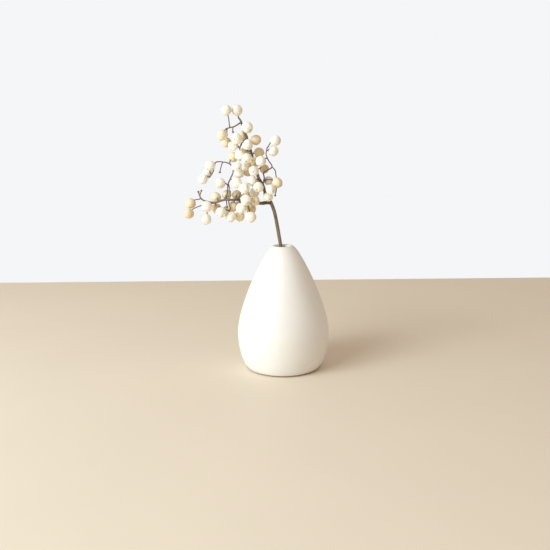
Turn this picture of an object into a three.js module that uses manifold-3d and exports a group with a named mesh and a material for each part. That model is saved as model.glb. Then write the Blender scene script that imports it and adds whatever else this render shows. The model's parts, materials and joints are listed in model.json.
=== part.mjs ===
// A ceramic bud vase with a dried sprig of berries standing in its mouth.
// Millimetres, +Z up, the origin at the middle of the vase's foot, where it rests.
// The vase is one turned body. The sprig is a woody stem, its twigs, and fruits on their own stalks.

import * as THREE from "three";
import { mergeVertices } from "three/addons/utils/BufferGeometryUtils.js";
import Module from "manifold-3d";

// Vase
const vaseHeight = 89;
const bellyRadius = 33;
const bellyHeight = 26;
const footRadius = 25.6;
const shoulderRadius = 12.2;
const shoulderBelowRim = 6;
const rimRadius = 6.6;
const mouthRadius = 4.8;
const wallThickness = 4;
const floorThickness = 5;
const vaseSides = 40;
const lipInset = 1.5;
const lipRise = 2.3;
const lipOverhang = 1.6;
const floorEase = 2; // how far the floor's corner is eased

// The swell of the outline, as shares of the height or the radius that each curve spans.
const footFlare = 0.45;
const footFlareHeight = 0.1;
const belowBelly = 0.46;
const aboveBelly = 0.25;
const shoulderSpread = 0.4;
const belowShoulder = 0.23;

// Sprig
const sprigHeight = 97; // from the rim to the top fruit
const stemRadius = 1.4;
const forkRadius = 1.2;
const stemTopRadius = 0.6;
const branchRadius = 1.25;
const twigRadius = 0.5;
const twigTipRadius = 0.4;
const stalkRadius = 0.35;
const stalkKnobRadius = 0.75;
const gap = 0.3; // between pieces that touch
const stalkSides = 5;
const stalkSteps = 4;
const fruitSides = 9;
const fruitRings = 6;
const poleLift = 0.4; // how far a fruit's stalk pole turns upwards
const stalkBend = 0.35; // as a share of the stalk's reach
const leastBend = 0.4;
const stalkDepth = 0.6; // where a stalk ends inside its fruit, as a share of the radius

// The lean of the stem, as its step in X and Y for each millimetre of height.
const leanX = -0.165;
const leanY = -0.052;

// The stem leans on the back left of the mouth.
const rimContactAngle = (117 * Math.PI) / 180;

const drawnHeight = 97; // the height for which the sprig's points are given
const grow = sprigHeight / drawnHeight;

const wasm = await Module();
wasm.setup();

const glaze = new THREE.MeshStandardMaterial({ color: 0xf1ece3, roughness: 0.45, metalness: 0 });
const bark = new THREE.MeshStandardMaterial({ color: 0x5a4636, roughness: 0.85, metalness: 0 });
const thinBark = new THREE.MeshStandardMaterial({ color: 0x6b5c4c, roughness: 0.85, metalness: 0 });
const paleSkin = new THREE.MeshStandardMaterial({ color: 0xece3c4, roughness: 0.6, metalness: 0 });
const tanSkin = new THREE.MeshStandardMaterial({ color: 0xc3a06a, roughness: 0.65, metalness: 0 });

// A closed geometry as a solid that can be joined with others.
function solidOf(geometry) {
  const bare = new THREE.BufferGeometry();
  bare.setAttribute("position", geometry.getAttribute("position"));
  if (geometry.index) {
    bare.setIndex(geometry.index);
  }
  const merged = mergeVertices(bare, 1e-4);
  const vertProperties = merged.getAttribute("position").array;
  const triVerts = new Uint32Array(merged.index.array);
  return new wasm.Manifold(new wasm.Mesh({ numProp: 3, vertProperties, triVerts }));
}

// Several closed geometries joined into one.
function joined(geometries) {
  const solids = geometries.map(solidOf);
  const whole = solids.slice(1).reduce((sum, solid) => sum.add(solid), solids[0]);
  const mesh = whole.getMesh();
  const geometry = new THREE.BufferGeometry();
  geometry.setAttribute("position", new THREE.BufferAttribute(new Float32Array(mesh.vertProperties), 3));
  geometry.setIndex(new THREE.BufferAttribute(new Uint32Array(mesh.triVerts), 1));
  geometry.computeVertexNormals();
  return geometry;
}

// One piece of the object: its shape, its name and its material.
function named(name, geometry, material) {
  const mesh = new THREE.Mesh(geometry, material);
  mesh.name = name;
  return mesh;
}

// A corner of the vase's outline.
function point(radius, height) {
  return new THREE.Vector2(radius, height);
}

// The outside of the vase, from the foot's edge to the top of the rim.
function outerProfile() {
  const shoulderHeight = vaseHeight - shoulderBelowRim;
  const lowerWall = new THREE.CubicBezierCurve(
    point(footRadius, 0),
    point(footRadius + (bellyRadius - footRadius) * footFlare, bellyHeight * footFlareHeight),
    point(bellyRadius, bellyHeight * belowBelly),
    point(bellyRadius, bellyHeight),
  );
  const rise = shoulderHeight - bellyHeight;
  const spread = bellyRadius - shoulderRadius;
  const upperWall = new THREE.CubicBezierCurve(
    point(bellyRadius, bellyHeight),
    point(bellyRadius, bellyHeight + rise * aboveBelly),
    point(shoulderRadius + spread * shoulderSpread, shoulderHeight - rise * belowShoulder),
    point(shoulderRadius, shoulderHeight),
  );
  const lip = new THREE.CubicBezierCurve(
    point(shoulderRadius, shoulderHeight),
    point(shoulderRadius - lipInset, shoulderHeight + lipRise),
    point(rimRadius + lipOverhang, vaseHeight),
    point(rimRadius, vaseHeight),
  );
  return [...lowerWall.getPoints(7), ...upperWall.getPoints(7).slice(1), ...lip.getPoints(4).slice(1)];
}

// The wall's inner face: the outside moved in by the wall's thickness, above the floor and outside the bore.
function innerProfile(outside) {
  const leastClimb = 0.3;
  const overFloor = 0.5;
  const outsideBore = 0.3;
  const inside = [];
  for (let i = 1; i < outside.length - 1; i += 1) {
    const along = outside[i + 1].clone().sub(outside[i - 1]).normalize();
    const moved = point(outside[i].x - along.y * wallThickness, outside[i].y + along.x * wallThickness);
    const last = inside[inside.length - 1];
    const climbs = !last || moved.y > last.y + leastClimb;
    if (moved.y > floorThickness + overFloor && moved.x > mouthRadius + outsideBore && climbs) {
      inside.push(moved);
    }
  }
  return inside;
}

function vaseGeometry() {
  const outside = outerProfile();
  const inside = innerProfile(outside);
  const lipRadius = rimRadius - mouthRadius;
  const lipStart = vaseHeight - lipRadius;
  const lipMiddle = lipRadius * Math.SQRT1_2;
  const profile = [
    point(0, 0),
    ...outside,
    point(rimRadius - lipMiddle, lipStart + lipMiddle),
    point(mouthRadius, lipStart),
    point(mouthRadius, inside[inside.length - 1].y),
    ...inside.toReversed(),
    point(inside[0].x - floorEase, floorThickness),
    point(0, floorThickness),
  ];
  const geometry = new THREE.LatheGeometry(profile, vaseSides);
  geometry.rotateX(Math.PI / 2);
  return geometry;
}

// A point of the sprig's own frame. What is above the rim grows with the sprig.
function placed([x, y, z]) {
  return new THREE.Vector3(x, y, z).multiplyScalar(z > 0 ? grow : 1);
}

// A smooth path through points of the sprig's frame.
function pathThrough(points) {
  return new THREE.CatmullRomCurve3(points.map(placed));
}

// A round section with the given number of sides.
function polygon(radius, sides) {
  const corners = [];
  for (let i = 0; i < sides; i += 1) {
    const angle = (i / sides) * Math.PI * 2;
    corners.push(point(Math.cos(angle) * radius, Math.sin(angle) * radius));
  }
  return new THREE.Shape(corners);
}

// A round rod along a path, tapered evenly from its start to its end.
function rod(path, startRadius, endRadius, steps, sides) {
  const geometry = new THREE.ExtrudeGeometry(polygon(startRadius, sides), {
    steps,
    extrudePath: path,
    bevelEnabled: false,
  });
  const centres = path.getSpacedPoints(steps);
  const frames = path.computeFrenetFrames(steps, false);
  const position = geometry.getAttribute("position");
  const vertex = new THREE.Vector3();
  const arm = new THREE.Vector3();
  for (let i = 0; i < position.count; i += 1) {
    vertex.fromBufferAttribute(position, i);
    let best = 0;
    let least = Infinity;
    for (let ring = 0; ring <= steps; ring += 1) {
      arm.subVectors(vertex, centres[ring]);
      const miss = Math.abs(arm.dot(frames.tangents[ring])) + Math.abs(arm.length() - startRadius);
      if (miss < least) {
        least = miss;
        best = ring;
      }
    }
    const share = THREE.MathUtils.lerp(1, endRadius / startRadius, best / steps);
    arm.subVectors(vertex, centres[best]).multiplyScalar(share);
    vertex.addVectors(centres[best], arm);
    position.setXYZ(i, vertex.x, vertex.y, vertex.z);
  }
  return geometry;
}

// The hard knob that a fallen fruit leaves at the end of its stalk.
function knob(middle) {
  const { x, y, z } = placed(middle);
  return new THREE.SphereGeometry(stalkKnobRadius, 6, 4).translate(x, y, z);
}

// A point on the straight lower part of the stem, at a height above the rim.
function onStem(height) {
  return [leanX * height, leanY * height, height];
}

// Each twig is one or more rods that run into each other, with knobs on its bare ends.
// Stalks leave its first rod. The stem's first rod is its upper part, and the second comes up from the vase.
// Points are in the sprig's own frame: its origin is the middle of the stem at the level of the rim.
const stemFoot = floorThickness + gap + stemRadius * Math.hypot(leanX, leanY) - vaseHeight;
const twigs = {
  main_stem: {
    material: bark,
    rods: [
      {
        points: [
          [-6, -2, 29],
          [-7, -2, 31.5],
          [-10, -2.5, 34.5],
          [-11, -3, 39],
          [-12, -2.5, 42.5],
          [-13.5, -1.5, 45],
          [-15.5, 0, 49],
          [-17, 2, 54.5],
          [-19.5, 1.5, 63.5],
          [-21.5, -0.5, 72],
          [-25, -3, 80.5],
          [-26.5, -4, 86.5],
          [-28, -4.5, 88.5],
        ],
        radii: [forkRadius, stemTopRadius],
        steps: 26,
        sides: 7,
      },
      {
        points: [
          onStem(stemFoot),
          onStem(stemFoot * 0.5),
          [0, 0, 0],
          onStem(9),
          onStem(16),
          [-4, -1.4, 23],
          [-6, -2, 29],
          [-7, -2, 31.5],
        ],
        radii: [stemRadius, forkRadius],
        steps: 16,
        sides: 8,
      },
    ],
    knobs: [],
  },
  left_branch: {
    material: bark,
    rods: [
      {
        points: [
          [-8.9, -2, 30.3],
          [-14, -2, 30],
          [-21, -1.8, 30.7],
          [-26.5, -3.5, 32.3],
          [-33.5, -6.5, 33],
          [-39.5, -7, 33],
          [-45, -8, 31.3],
          [-52, -7.5, 32.5],
          [-55, -8, 34.5],
          [-56.5, -8.5, 39],
        ],
        radii: [branchRadius, twigTipRadius],
        steps: 18,
        sides: 6,
      },
      {
        points: [
          [-32, -6.2, 33],
          [-31, -8, 35.3],
          [-28.5, -10, 38],
          [-26.7, -10.8, 36],
        ],
        radii: [stalkRadius, stalkRadius],
        steps: 8,
        sides: 5,
      },
      {
        points: [
          [-55.6, -8.2, 36],
          [-55, -8.8, 38],
          [-54.2, -9.5, 39.8],
        ],
        radii: [stalkRadius, stalkRadius],
        steps: 3,
        sides: 5,
      },
    ],
    knobs: [
      [-26.7, -10.8, 36],
      [-54.2, -9.5, 39.8],
      [-56.5, -8.5, 39],
    ],
  },
  right_twig: {
    material: thinBark,
    rods: [
      {
        points: [
          [-12, -3.9, 43.6],
          [-11, -5, 48],
          [-11.5, -4.5, 51],
          [-9, -6, 53],
          [-5.5, -8, 55.5],
          [-8, -8, 60],
          [-9.5, -8, 64],
          [-8.7, -9, 68.5],
        ],
        radii: [twigRadius, stalkRadius],
        steps: 14,
        sides: 5,
      },
      {
        points: [
          [-5.5, -8, 55.5],
          [-3.5, -6, 53],
          [-3, -4, 50.5],
          [-2.5, -2.5, 46.5],
          [-2.5, -2.5, 41],
          [-3.5, -3, 35.5],
        ],
        radii: [stalkRadius, stalkRadius],
        steps: 11,
        sides: 5,
      },
    ],
    knobs: [[-3.5, -3, 35.5]],
  },
  middle_twig: {
    material: thinBark,
    rods: [
      {
        points: [
          [-38.5, -7.1, 34.4],
          [-37, -6, 36.5],
          [-36.5, -5, 40],
          [-36, -4, 44],
          [-34.5, -4, 47.5],
          [-33, -4, 50.5],
          [-32.5, -3.5, 53.5],
          [-34, -4, 57],
          [-39.5, -4, 59],
          [-44.5, -4.5, 58.5],
          [-45.3, -3, 55.5],
          [-46.5, -4.5, 52],
          [-48.5, -6, 49],
        ],
        radii: [twigRadius, stalkRadius],
        steps: 24,
        sides: 5,
      },
      {
        points: [
          [-39.5, -4, 59],
          [-40.5, -6, 56],
          [-41.5, -6, 52],
        ],
        radii: [stalkRadius, stalkRadius],
        steps: 5,
        sides: 5,
      },
      {
        points: [
          [-36, -4, 44],
          [-35.2, -6, 41.8],
          [-34.9, -6.5, 38.5],
        ],
        radii: [stalkRadius, stalkRadius],
        steps: 4,
        sides: 5,
      },
    ],
    knobs: [
      [-41.5, -6, 52],
      [-34.9, -6.5, 38.5],
    ],
  },
  inner_twig: {
    material: thinBark,
    rods: [
      {
        points: [
          [-22.2, -3, 75.4],
          [-24, -4.5, 73.5],
          [-26.5, -5, 70.8],
          [-27.5, -5.5, 68.5],
        ],
        radii: [twigRadius, twigTipRadius],
        steps: 5,
        sides: 5,
      },
      {
        points: [
          [-26.5, -5, 70.8],
          [-24.5, -6, 68.5],
          [-22.7, -6.5, 67],
        ],
        radii: [stalkRadius, stalkRadius],
        steps: 4,
        sides: 5,
      },
    ],
    knobs: [[-22.7, -6.5, 67]],
  },
  upper_left_twig: {
    material: bark,
    rods: [
      {
        points: [
          [-27, -4.5, 85.1],
          [-29.5, -6, 83.5],
          [-31.5, -7, 82.5],
          [-34, -7, 82],
          [-36.5, -8, 81.3],
        ],
        radii: [twigRadius, twigTipRadius],
        steps: 8,
        sides: 5,
      },
      {
        points: [
          [-31.5, -7, 82.5],
          [-31.9, -8, 81],
          [-31.8, -8.5, 79],
        ],
        radii: [stalkRadius, stalkRadius],
        steps: 3,
        sides: 5,
      },
    ],
    knobs: [[-31.8, -8.5, 79]],
  },
  lower_twig: {
    material: bark,
    rods: [
      {
        points: [
          [-35.8, -7.3, 31.9],
          [-35.3, -8.5, 29.5],
          [-34.8, -8, 27],
          [-35.5, -7, 25.8],
        ],
        radii: [twigRadius, twigTipRadius],
        steps: 5,
        sides: 6,
      },
    ],
    knobs: [],
  },
};

// Each fruit: the twig that it hangs from, its centre in the sprig's frame, its radius, and its skin.
// A last number is where its stalk starts, as a share of the twig's length, if not at the nearest point.
const fruits = [
  ["upper_left_twig", [-36, -8.5, 93.5], 3.5, paleSkin],
  ["main_stem", [-29, -5, 93.5], 3.7, paleSkin],
  ["main_stem", [-22, -9, 82], 3.9, paleSkin],
  ["upper_left_twig", [-39, -9, 77], 3.6, tanSkin],
  ["upper_left_twig", [-37, 1, 72], 3.4, tanSkin],
  ["inner_twig", [-29, -11, 74.5], 3.6, paleSkin],
  ["inner_twig", [-32, -5, 70], 3.5, paleSkin],
  ["inner_twig", [-22, -10, 70.5], 3.6, paleSkin],
  ["main_stem", [-16.5, -3, 73.5], 3.5, tanSkin],
  ["main_stem", [-14.5, 1, 65], 3.5, tanSkin],
  ["main_stem", [-25.5, 3.5, 76], 3.4, tanSkin],
  ["middle_twig", [-32.5, -1, 62], 3.5, tanSkin],
  ["inner_twig", [-27.5, -7, 63.5], 3.5, paleSkin],
  ["main_stem", [-22.5, -13, 61.5], 3.5, paleSkin],
  ["main_stem", [-17, -6, 59], 3.5, tanSkin],
  ["right_twig", [-13, -12.5, 59.5], 3.5, paleSkin],
  ["right_twig", [-3, -8.5, 73], 3.5, paleSkin],
  ["right_twig", [-4.5, -6.5, 66], 3.4, paleSkin],
  ["main_stem", [-22.5, 1, 52], 3.5, tanSkin],
  ["main_stem", [-18, -11, 53], 3.5, paleSkin],
  ["middle_twig", [-29.5, -10, 56], 3.5, paleSkin],
  ["middle_twig", [-28.5, -4, 51], 3.4, paleSkin],
  ["main_stem", [-19.5, -7, 46], 3.5, paleSkin],
  ["middle_twig", [-30, -10, 45], 3.6, paleSkin],
  ["left_branch", [-24.5, -14, 41.5], 3.7, paleSkin],
  ["main_stem", [-15, -12, 42], 3.5, paleSkin],
  ["main_stem", [-18, -4.5, 37.5], 3.4, paleSkin],
  ["main_stem", [-6.5, -12.5, 40.5], 3.5, paleSkin],
  ["right_twig", [-8, -0.5, 45.5], 3.2, paleSkin],
  ["right_twig", [-2, -7.5, 44.5], 3.7, tanSkin],
  ["main_stem", [-8.5, -8, 35], 3.3, paleSkin],
  ["left_branch", [-17.5, -10, 32.5], 3.4, tanSkin],
  ["left_branch", [-23.5, -15, 33.5], 3.7, paleSkin],
  ["left_branch", [-27, -11, 27.5], 3.7, paleSkin],
  ["left_branch", [-20.5, -3, 26], 3.5, tanSkin],
  ["left_branch", [-20.5, -12.5, 21.5], 3.7, paleSkin, 0.27],
  ["left_branch", [-28.5, -3, 21], 3.4, tanSkin],
  ["lower_twig", [-34.5, -9, 21.5], 3.7, paleSkin],
  ["left_branch", [-33, -4, 28], 3.5, tanSkin],
  ["left_branch", [-45, -3, 34.5], 3.6, tanSkin],
  ["left_branch", [-50.5, -12, 29], 3.7, paleSkin, 0.7],
  ["left_branch", [-45, -1.5, 26.5], 3.5, tanSkin],
  ["lower_twig", [-41, -12, 25], 3.6, paleSkin],
  ["left_branch", [-37.5, 2.5, 24.5], 3.3, tanSkin],
  ["left_branch", [-51.5, -9, 20], 3.6, paleSkin],
  ["left_branch", [-62, -8, 31], 3.5, tanSkin, 0.91],
  ["left_branch", [-63, -12.5, 24.5], 3.5, tanSkin, 0.84],
  ["middle_twig", [-41.5, -6, 44.5], 3.6, paleSkin],
  ["middle_twig", [-48, -7, 56.5], 3.5, paleSkin],
  ["middle_twig", [-50.5, -2, 51], 3.4, paleSkin],
  ["middle_twig", [-53, -8, 47.5], 3.4, paleSkin],
];

// A twig's rods and knobs as one solid.
function twigGeometry(twig) {
  const rods = twig.rods.map(({ points, radii, steps, sides }) =>
    rod(pathThrough(points), radii[0], radii[1], steps, sides),
  );
  return joined([...rods, ...twig.knobs.map(knob)]);
}

// Where a fruit's stalk leaves its twig: the point nearest to the fruit, on the side that faces it.
function stalkStart(twig, centre, chosenShare) {
  const [mainRod] = twig.rods;
  const path = pathThrough(mainRod.points);
  const samples = 120;
  const distances = path.getSpacedPoints(samples).map((sample) => sample.distanceTo(centre));
  const nearest = distances.indexOf(Math.min(...distances));
  const share = chosenShare ?? nearest / samples;
  const onPath = path.getPointAt(share);
  const leaving = centre.clone().sub(onPath).normalize();
  if (share < 1) {
    leaving.projectOnPlane(path.getTangentAt(share)).normalize();
  }
  const radius = THREE.MathUtils.lerp(mainRod.radii[0], mainRod.radii[1], share);
  return { start: onPath.addScaledVector(leaving, radius + gap), leaving };
}

// One fruit and its stalk. The stalk bends from its twig to the fruit's upper pole.
function fruitGeometry(twig, centre, radius, chosenShare) {
  const { start, leaving } = stalkStart(twig, centre, chosenShare);
  const reach = start.distanceTo(centre) - radius;
  const bend = Math.max(leastBend, reach * stalkBend);
  const axis = start.clone().sub(centre).normalize();
  axis.z += poleLift;
  axis.normalize();
  const stalk = new THREE.CubicBezierCurve3(
    start,
    start.clone().addScaledVector(leaving, bend),
    centre.clone().addScaledVector(axis, radius + bend),
    centre.clone().addScaledVector(axis, radius * stalkDepth),
  );
  const fruit = new THREE.SphereGeometry(radius, fruitSides, fruitRings);
  fruit.applyQuaternion(new THREE.Quaternion().setFromUnitVectors(new THREE.Vector3(0, 1, 0), axis));
  fruit.translate(centre.x, centre.y, centre.z);
  return joined([fruit, rod(stalk, stalkRadius, stalkRadius, stalkSteps, stalkSides)]);
}

const rimContact = mouthRadius - stemRadius - gap;
const sprig = new THREE.Group();
sprig.position.set(
  rimContact * Math.cos(rimContactAngle),
  rimContact * Math.sin(rimContactAngle),
  vaseHeight,
);
for (const [name, twig] of Object.entries(twigs)) {
  sprig.add(named(name, twigGeometry(twig), twig.material));
}
fruits.forEach(([twigName, centre, radius, skin, chosenShare], i) => {
  const name = `berry_${String(i + 1).padStart(2, "0")}`;
  const geometry = fruitGeometry(twigs[twigName], placed(centre), radius * grow, chosenShare);
  sprig.add(named(name, geometry, skin));
});

const budVase = new THREE.Group();
budVase.add(named("vase_body", vaseGeometry(), glaze));
budVase.add(sprig);

export default budVase;
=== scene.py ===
import json
import math
import bpy
import numpy as np
from mathutils import Matrix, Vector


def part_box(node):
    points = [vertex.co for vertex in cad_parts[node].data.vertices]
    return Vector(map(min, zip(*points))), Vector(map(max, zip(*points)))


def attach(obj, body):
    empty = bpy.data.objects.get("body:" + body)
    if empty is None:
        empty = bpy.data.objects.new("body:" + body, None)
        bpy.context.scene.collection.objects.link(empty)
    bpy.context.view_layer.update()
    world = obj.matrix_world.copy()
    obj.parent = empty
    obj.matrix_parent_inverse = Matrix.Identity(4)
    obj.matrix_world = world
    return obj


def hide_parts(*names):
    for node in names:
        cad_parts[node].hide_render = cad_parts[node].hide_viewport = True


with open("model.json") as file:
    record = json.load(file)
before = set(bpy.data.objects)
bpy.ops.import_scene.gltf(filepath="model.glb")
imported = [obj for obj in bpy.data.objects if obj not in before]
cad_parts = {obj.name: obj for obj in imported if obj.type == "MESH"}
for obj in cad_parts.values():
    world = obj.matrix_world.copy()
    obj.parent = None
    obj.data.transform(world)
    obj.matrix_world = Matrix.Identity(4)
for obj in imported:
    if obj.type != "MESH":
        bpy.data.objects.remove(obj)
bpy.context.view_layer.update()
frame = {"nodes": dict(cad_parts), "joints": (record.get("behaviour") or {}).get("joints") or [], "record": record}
print("frame loaded:", len(frame["nodes"]), "nodes")

mm = 0.001
pieceSamples = 24  # points on each cubic piece of a path


# A smooth path through points, at even steps: cubic pieces between neighbours, timed by the square root of
# their distance.
def smoothPath(points, count):
    points = np.asarray(points, float)
    before = 2 * points[0] - points[1]
    after = 2 * points[-1] - points[-2]
    chain = np.vstack([before, points, after])
    p0, p1, p2, p3 = (chain[i:len(chain) - 3 + i] for i in range(4))
    gapBefore = np.sqrt(np.linalg.norm(p1 - p0, axis=1))[:, None]
    gapHere = np.sqrt(np.linalg.norm(p2 - p1, axis=1))[:, None]
    gapAfter = np.sqrt(np.linalg.norm(p3 - p2, axis=1))[:, None]
    slopeIn = ((p1 - p0) / gapBefore - (p2 - p0) / (gapBefore + gapHere) + (p2 - p1) / gapHere) * gapHere
    slopeOut = ((p2 - p1) / gapHere - (p3 - p1) / (gapHere + gapAfter) + (p3 - p2) / gapAfter) * gapHere
    t = np.linspace(0, 1, pieceSamples, endpoint=False)[None, :, None]
    a, b, c, d = (x[:, None, :] for x in (p1, p2, slopeIn, slopeOut))
    curve = a + c * t + (3 * b - 3 * a - 2 * c - d) * t ** 2 + (2 * a - 2 * b + c + d) * t ** 3
    curve = np.vstack([curve.reshape(-1, 3), points[-1]])
    return evenly(curve, count)


# The same curve with its points spread evenly along its length.
def evenly(curve, count):
    steps = np.linalg.norm(np.diff(curve, axis=0), axis=1)
    length = np.concatenate([[0], np.cumsum(steps)])
    wanted = np.linspace(0, length[-1], count)
    return np.stack([np.interp(wanted, length, curve[:, k]) for k in range(3)], axis=1)


# A cubic curve from four points, as the weighted sum of its corners.
def bezier(corners, count):
    corners = np.asarray(corners, float)
    t = np.linspace(0, 1, count)[:, None]
    return (
        (1 - t) ** 3 * corners[0]
        + 3 * t * (1 - t) ** 2 * corners[1]
        + 3 * t ** 2 * (1 - t) * corners[2]
        + t ** 3 * corners[3]
    )


# Vectors divided by their own lengths.
def unit(vectors):
    return vectors / np.linalg.norm(vectors, axis=-1, keepdims=True)


# Two directions across a path at each of its points, square to it and to each other.
def acrossPath(path):
    tangent = unit(np.gradient(path, axis=0))
    least = np.argmin(np.abs(tangent).max(axis=0))
    side = unit(np.cross(tangent, np.eye(3)[least]))
    return side, np.cross(tangent, side)


# A bell about zero: 1 in the middle, falling off over the width.
def bell(distance, width):
    return np.exp(-((distance / width) ** 2))


# Numbers that look random but are the same each run: the fraction left of a large sine.
def scatter(index, salt):
    angle = index * scatterRates["index"] + salt * scatterRates["salt"]
    return float((math.sin(angle) * scatterRates["size"]) % 1.0)


scatterRates = {"index": 12.9898, "salt": 78.233, "size": 43758.5453}


# A round skin: rows of rings, closed by a fan at each end. It gives vertices, faces of four and of three, and
# the maps of both.
def closedSkin(grid, startPole, endPole):
    rows, columns = grid.shape[:2]
    row, column = np.meshgrid(np.arange(rows - 1), np.arange(columns), indexing="ij")
    nextColumn = (column + 1) % columns
    quads = np.stack(
        [
            row * columns + column,
            row * columns + nextColumn,
            (row + 1) * columns + nextColumn,
            (row + 1) * columns + column,
        ],
        axis=-1,
    ).reshape(-1, 4)
    ring = np.arange(columns)
    onward = (ring + 1) % columns
    last = (rows - 1) * columns
    startFan = np.stack([onward, ring, np.full(columns, rows * columns)], axis=1)
    endFan = np.stack([last + ring, last + onward, np.full(columns, rows * columns + 1)], axis=1)
    vertices = np.vstack([grid.reshape(-1, 3), startPole, endPole])
    steps = np.linalg.norm(np.diff(grid.mean(axis=1), axis=0), axis=1)
    along = np.concatenate([[0], np.cumsum(steps)])
    around = column / columns
    quadMap = np.stack(
        [
            np.stack([along[row], around], axis=-1),
            np.stack([along[row], around + 1 / columns], axis=-1),
            np.stack([along[row + 1], around + 1 / columns], axis=-1),
            np.stack([along[row + 1], around], axis=-1),
        ],
        axis=2,
    ).reshape(-1, 4, 2)
    share = ring / columns
    startShares = np.stack([share + 1 / columns, share, share], axis=1)
    endShares = np.stack([share, share + 1 / columns, share], axis=1)
    startMap = np.stack([np.zeros((columns, 3)), startShares], axis=-1)
    endMap = np.stack([np.full((columns, 3), along[-1]), endShares], axis=-1)
    return vertices, quads, np.vstack([startFan, endFan]), quadMap, np.concatenate([startMap, endMap])


# Six times the volume under the faces: its sign tells whether they face out.
def signedVolume(vertices, triangles):
    a, b, c = (vertices[triangles[:, k]] for k in range(3))
    return np.einsum("ij,ij->i", a, np.cross(b, c)).sum()


# One Blender object from several skins, each turned so that its faces look out. A skin is a dictionary of its
# grid, its poles, its material's number, and values at its points.
def makePiece(name, skins, materials, body, nodes):
    vertices, faces, sizes, maps, numbers = [], [], [], [], []
    values = {}
    placed = 0
    for skin in skins:
        points, quads, triangles, quadMap, triangleMap = closedSkin(skin["grid"], *skin["poles"])
        halves = np.vstack([quads[:, [0, 1, 2]], quads[:, [0, 2, 3]], triangles])
        if signedVolume(points - points.mean(axis=0), halves) < 0:
            quads, quadMap = quads[:, ::-1], quadMap[:, ::-1]
            triangles, triangleMap = triangles[:, ::-1], triangleMap[:, ::-1]
        vertices.append(points)
        faces += [(quads + placed).reshape(-1), (triangles + placed).reshape(-1)]
        sizes += [np.full(len(quads), 4), np.full(len(triangles), 3)]
        maps += [quadMap.reshape(-1, 2), triangleMap.reshape(-1, 2)]
        numbers.append(np.full(len(quads) + len(triangles), skin["material"]))
        placed += len(points)
        for key in ("tip", "tone"):
            given = skin.get(key, 0.0)
            values.setdefault(key, []).append(np.broadcast_to(given, (len(points),)).astype(np.float32))
    vertices, faces, sizes = np.vstack(vertices), np.concatenate(faces), np.concatenate(sizes)
    starts = np.concatenate([[0], np.cumsum(sizes)[:-1]])
    mesh = bpy.data.meshes.new(name)
    mesh.vertices.add(len(vertices))
    mesh.vertices.foreach_set("co", vertices.astype(np.float32).reshape(-1))
    mesh.loops.add(len(faces))
    mesh.loops.foreach_set("vertex_index", faces.astype(np.int32))
    mesh.polygons.add(len(sizes))
    mesh.polygons.foreach_set("loop_start", starts.astype(np.int32))
    mesh.polygons.foreach_set("material_index", np.concatenate(numbers).astype(np.int32))
    mesh.polygons.foreach_set("use_smooth", np.ones(len(sizes), bool))
    alongAround = mesh.uv_layers.new(name="alongAround")
    alongAround.data.foreach_set("uv", np.vstack(maps).astype(np.float32).reshape(-1))
    for key, parts in values.items():
        mesh.attributes.new(key, "FLOAT", "POINT").data.foreach_set("value", np.concatenate(parts))
    for material in materials:
        mesh.materials.append(material)
    mesh.update(calc_edges=True)
    mesh.validate()
    piece = bpy.data.objects.new(name, mesh)
    bpy.context.scene.collection.objects.link(piece)
    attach(piece, body)
    if nodes:
        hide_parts(*nodes)
    return piece


# An empty node group with its named inputs and outputs.
def newGroup(name, inputs, outputs):
    group = bpy.data.node_groups.new(name, "ShaderNodeTree")
    for label, kind, value in inputs:
        socket = group.interface.new_socket(label, in_out="INPUT", socket_type=kind)
        if value is not None:
            socket.default_value = value
    for label, kind in outputs:
        group.interface.new_socket(label, in_out="OUTPUT", socket_type=kind)
    start = group.nodes.new("NodeGroupInput")
    end = group.nodes.new("NodeGroupOutput")
    return group, start, end


# One node, with the given inputs and settings filled in.
def addNode(tree, kind, **settings):
    node = tree.nodes.new(kind)
    for key, value in settings.items():
        if key in node.inputs:
            node.inputs[key].default_value = value
        else:
            setattr(node, key, value)
    return node


# Soft patches: layered noise, stretched about its middle by the contrast and held between 0 and 1.
def makeMottle():
    group, start, end = newGroup(
        "mottle",
        [
            ("Vector", "NodeSocketVector", None),
            ("Scale", "NodeSocketFloat", 60.0),
            ("Contrast", "NodeSocketFloat", 2.0),
        ],
        [("Amount", "NodeSocketFloat")],
    )
    noise = addNode(group, "ShaderNodeTexNoise", Detail=5.0, Roughness=0.55)
    middle = addNode(group, "ShaderNodeMath", operation="SUBTRACT")
    middle.inputs[1].default_value = 0.5
    spread = addNode(group, "ShaderNodeMath", operation="MULTIPLY")
    back = addNode(group, "ShaderNodeMath", operation="ADD", use_clamp=True)
    back.inputs[1].default_value = 0.5
    group.links.new(start.outputs["Vector"], noise.inputs["Vector"])
    group.links.new(start.outputs["Scale"], noise.inputs["Scale"])
    group.links.new(noise.outputs["Fac"], middle.inputs[0])
    group.links.new(middle.outputs[0], spread.inputs[0])
    group.links.new(start.outputs["Contrast"], spread.inputs[1])
    group.links.new(spread.outputs[0], back.inputs[0])
    group.links.new(back.outputs[0], end.inputs["Amount"])
    return group


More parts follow.
